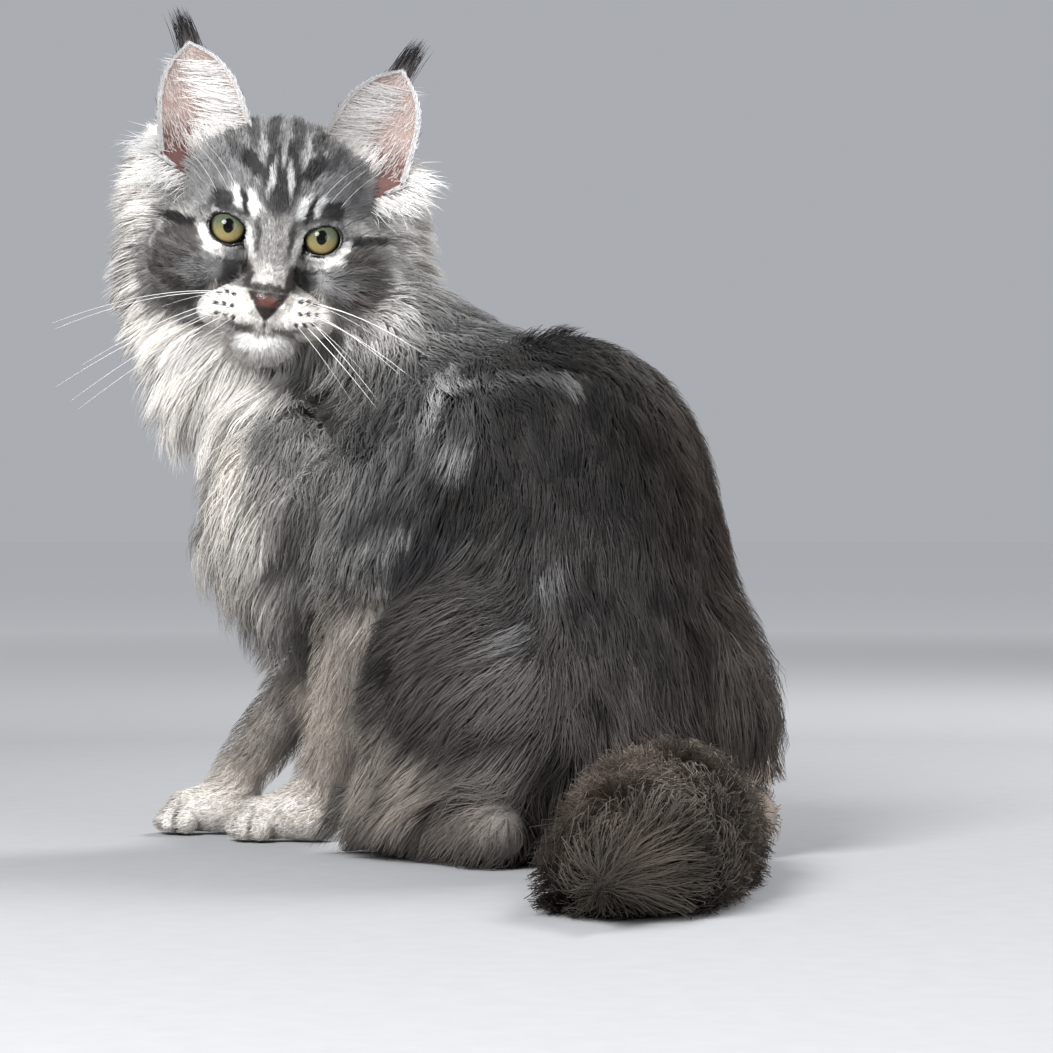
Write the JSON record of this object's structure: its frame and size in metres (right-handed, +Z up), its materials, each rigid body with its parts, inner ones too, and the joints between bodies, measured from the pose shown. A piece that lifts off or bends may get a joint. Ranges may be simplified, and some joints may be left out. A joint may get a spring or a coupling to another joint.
{
  "type": "maine coon cat",
  "caption": "Life-size still model of a sitting long-haired silver tabby cat that looks back over its shoulder, tail laid on the floor.",
  "frame": {"origin": "on the floor, under the middle of the whole cat's box", "axes": "+Z up, the pelvis faces -Y, the cat's left side is +X, and the tail runs back along +Y and bends to +X"},
  "size_m": [0.3502, 0.5766, 0.4672],
  "materials": {
    "silver_coat": "medium-long silver tabby fur, matte",
    "charcoal_coat": "long charcoal-tipped guard hair with a soft sheen",
    "pale_coat": "soft cream-white fur",
    "plume_coat": "very long brown-grey tail hair with paler edges",
    "ear_skin": "thin bare skin, pinkish, under sparse white hair",
    "nose_leather": "fine-pebbled brick-red nose leather, satin, dark rim",
    "iris": "wet, clear and glossy over a yellow-green iris"
  },
  "bodies": {
    "root": {"head": "silver_coat", "muzzle": "pale_coat", "lower_jaw": "pale_coat", "nose": "nose_leather", "eye_left": "iris", "eye_right": "iris", "ear_left": "ear_skin", "ear_right": "ear_skin", "neck": "pale_coat", "chest": "silver_coat", "trunk": "charcoal_coat", "rump": "charcoal_coat", "thigh_left": "silver_coat", "thigh_right": "silver_coat", "hind_foot_left": "pale_coat", "hind_foot_right": "pale_coat", "foreleg_left": "pale_coat", "foreleg_right": "pale_coat", "forepaw_left": "pale_coat", "forepaw_right": "pale_coat", "tail_base": "plume_coat", "tail_middle": "plume_coat", "tail_tip": "plume_coat"}
  },
  "joints": []
}
